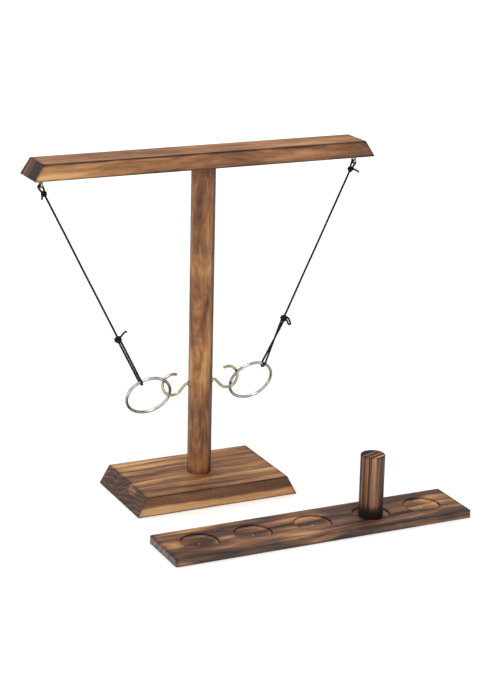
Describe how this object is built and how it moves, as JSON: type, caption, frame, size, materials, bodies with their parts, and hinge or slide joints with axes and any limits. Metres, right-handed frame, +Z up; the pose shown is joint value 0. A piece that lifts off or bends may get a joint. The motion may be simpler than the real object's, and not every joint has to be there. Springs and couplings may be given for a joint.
{
  "type": "ring toss set",
  "caption": "Wooden tabletop ring toss stand: a post with two side hooks under a crossbar that carries two rings on cords, with a dished scoring board and a peg.",
  "frame": {"origin": "centre of the base plate's flat underside", "axes": "+X along the crossbar and the base, +Y away from the scoring board, +Z up the post"},
  "size_m": [0.41, 0.2345, 0.3633],
  "materials": {
    "base_plate": "scorched and varnished softwood with dark burnt bands",
    "post": "scorched and varnished softwood with dark burnt bands",
    "crossbar": "scorched and varnished softwood with dark burnt bands",
    "base_insert": "turned",
    "post_bottom_stud": "turned",
    "post_top_stud": "turned",
    "crossbar_insert": "turned",
    "left_hook": "plain drawn wire",
    "right_hook": "plain drawn wire",
    "left_eye": "plain drawn wire",
    "right_eye": "plain drawn wire",
    "left_ring": "plain drawn wire",
    "right_ring": "plain drawn wire",
    "left_cord_line": "black waxed twisted cord",
    "left_eye_knot": "black waxed twisted cord",
    "left_eye_loop": "black waxed twisted cord",
    "left_ring_knot": "black waxed twisted cord",
    "left_ring_loop": "black waxed twisted cord",
    "right_cord_line": "black waxed twisted cord",
    "right_eye_knot": "black waxed twisted cord",
    "right_eye_loop": "black waxed twisted cord",
    "right_ring_knot": "black waxed twisted cord",
    "right_ring_loop": "black waxed twisted cord",
    "score_board": "scorched and varnished softwood with dark burnt bands",
    "marker_peg": "scorched and varnished softwood with dark burnt bands"
  },
  "bodies": {
    "tower": {"base_plate": "base_plate", "post": "post", "crossbar": "crossbar", "base_insert": "base_insert", "post_bottom_stud": "post_bottom_stud", "post_top_stud": "post_top_stud", "crossbar_insert": "crossbar_insert", "left_hook": "left_hook", "right_hook": "right_hook", "left_eye": "left_eye", "right_eye": "right_eye"},
    "left_hang": {"left_cord_line": "left_cord_line", "left_eye_knot": "left_eye_knot", "left_eye_loop": "left_eye_loop", "left_ring_knot": "left_ring_knot", "left_ring_loop": "left_ring_loop"},
    "left_ring_body": {"left_ring": "left_ring"},
    "right_hang": {"right_cord_line": "right_cord_line", "right_eye_knot": "right_eye_knot", "right_eye_loop": "right_eye_loop", "right_ring_knot": "right_ring_knot", "right_ring_loop": "right_ring_loop"},
    "right_ring_body": {"right_ring": "right_ring"},
    "board": {"score_board": "score_board"},
    "peg": {"marker_peg": "marker_peg"}
  },
  "joints": [
    {"name": "left_cord_swing", "type": "hinge", "parent": "tower", "child": "left_hang", "pos_m": [-0.1715, 0, 0.33715], "axis": [0, -0.999, -0.045], "range_deg": [0, 4.2]},
    {"name": "right_cord_swing", "type": "hinge", "parent": "tower", "child": "right_hang", "pos_m": [0.1722, 0, 0.33715], "axis": [0, 0.9929, 0.1191], "range_deg": [0, 4.2]},
    {"name": "left_ring_turn", "type": "hinge", "parent": "left_hang", "child": "left_ring_body", "pos_m": [-0.06787, -0.00452, 0.12756], "axis": [0.9374, 0.1219, -0.3262], "range_deg": [0, 6]},
    {"name": "right_ring_turn", "type": "hinge", "parent": "right_hang", "child": "right_ring_body", "pos_m": [0.0707, -0.0056, 0.13148], "axis": [0.911, -0.1551, 0.3821], "range_deg": [0, 6]},
    {"name": "board_slide", "type": "slide", "parent": "tower", "child": "board", "axis": [0, -1, 0], "range_m": [-0.05, 0.15]},
    {"name": "peg_lift", "type": "slide", "parent": "board", "child": "peg", "axis": [0, 0, 1], "range_m": [0, 0.09]}
  ]
}
